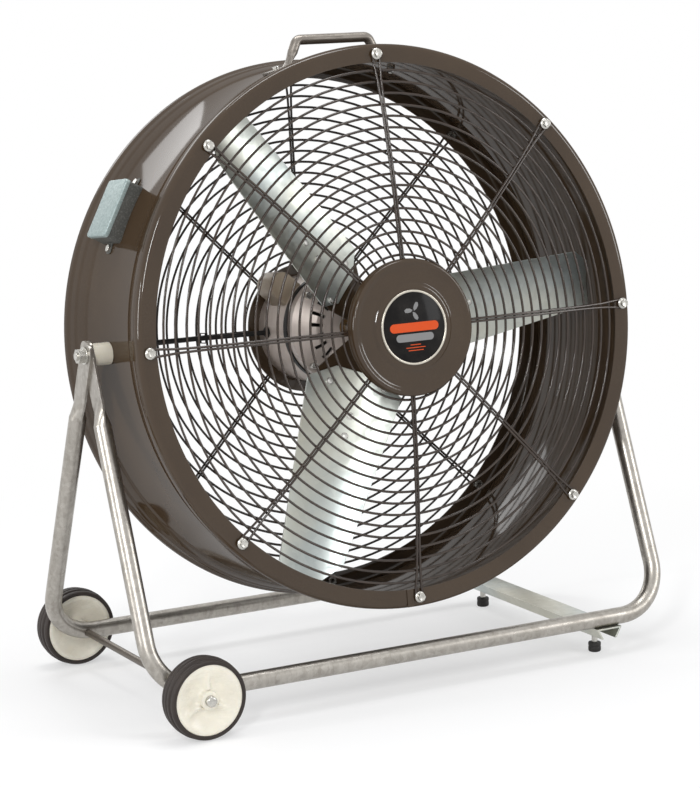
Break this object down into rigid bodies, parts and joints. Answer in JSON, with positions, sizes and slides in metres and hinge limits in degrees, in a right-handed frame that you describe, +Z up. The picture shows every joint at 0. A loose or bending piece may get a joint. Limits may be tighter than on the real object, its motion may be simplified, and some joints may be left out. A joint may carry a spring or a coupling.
{
  "type": "drum fan",
  "caption": "Drum fan with wire guards, a driven three-blade propeller and a carrying handle, hung to tilt in a bent-tube stand with wheels at one end and rubber feet at the other.",
  "frame": {"origin": "on the floor under the middle of the drum, midway between the two pivots and between the two stand tubes", "axes": "+Z up, -Y the front that the air leaves, +X to the right seen from the front, along the pivots"},
  "size_m": [0.7788, 0.4384, 0.8244],
  "materials": {
    "brown_paint": "gloss",
    "galvanized": "satin",
    "bright_tube": "satin",
    "zinc": "satin",
    "axle_steel": "satin",
    "motor_paint": "satin",
    "cast_silver": "matte",
    "cream_plastic": "satin",
    "nylon": "matte",
    "tyre_rubber": "matte",
    "black_rubber": "matte",
    "core_iron": "matte",
    "badge": "gloss",
    "tan_paint": "satin",
    "bronze": "satin"
  },
  "bodies": {
    "stand": {"front_tube": "bright_tube", "rear_tube": "bright_tube", "cross_channel": "galvanized", "rubber_feet": "black_rubber", "foot_studs": "zinc", "axle": "axle_steel", "axle_caps": "zinc", "axle_washers": "zinc"},
    "drum": {"drum_shell": "brown_paint", "seam_tab": "brown_paint", "front_guard_rings": "brown_paint", "front_guard_spokes": "brown_paint", "front_guard_plate": "brown_paint", "front_guard_bolts": "zinc", "front_guard_nuts": "zinc", "hub_cover": "brown_paint", "cover_fastener": "zinc", "medallion": "badge", "rear_guard_rings": "brown_paint", "rear_guard_spokes": "brown_paint", "rear_guard_bolts": "zinc", "rear_guard_nuts": "zinc", "motor_plate": "brown_paint", "motor_shell": "motor_paint", "front_bell": "cast_silver", "rear_bell": "motor_paint", "stator": "core_iron", "motor_bearings": "bronze", "motor_bolts": "zinc", "motor_nuts": "zinc", "capacitor": "cast_silver", "capacitor_cover": "tan_paint", "pivot_spacers": "nylon", "pivot_bolts": "zinc", "pivot_washers": "zinc", "pivot_nuts": "zinc", "handle": "galvanized", "handle_screws": "zinc", "handle_nuts": "zinc", "wiring_box": "galvanized", "box_screws": "zinc", "box_nuts": "zinc", "motor_lead": "black_rubber", "lead_grommets": "black_rubber", "lead_tie": "black_rubber"},
    "fan": {"motor_shaft": "zinc", "rotor": "core_iron", "fan_hub": "cast_silver", "set_screw": "zinc", "blade_spider": "brown_paint", "upper_blade": "galvanized", "right_blade": "galvanized", "lower_blade": "galvanized", "blade_rivets": "zinc"},
    "front_wheel": {"front_tyre": "tyre_rubber", "front_wheel_hub": "cream_plastic"},
    "rear_wheel": {"rear_tyre": "tyre_rubber", "rear_wheel_hub": "cream_plastic"}
  },
  "joints": [
    {"name": "drum_tilt", "type": "hinge", "parent": "stand", "child": "drum", "pos_m": [0, 0, 0.4465], "axis": [-1, 0, 0], "range_deg": [-97, 83]},
    {"name": "fan_spin", "type": "hinge", "parent": "drum", "child": "fan", "pos_m": [0, 0, 0.4465], "axis": [0, -0.9925, 0.1219], "continuous": true},
    {"name": "front_wheel_roll", "type": "hinge", "parent": "stand", "child": "front_wheel", "pos_m": [-0.3227, -0.195, 0.0508], "axis": [0, 1, 0], "continuous": true},
    {"name": "rear_wheel_roll", "type": "hinge", "parent": "stand", "child": "rear_wheel", "pos_m": [-0.3227, 0.195, 0.0508], "axis": [0, 1, 0], "continuous": true}
  ]
}
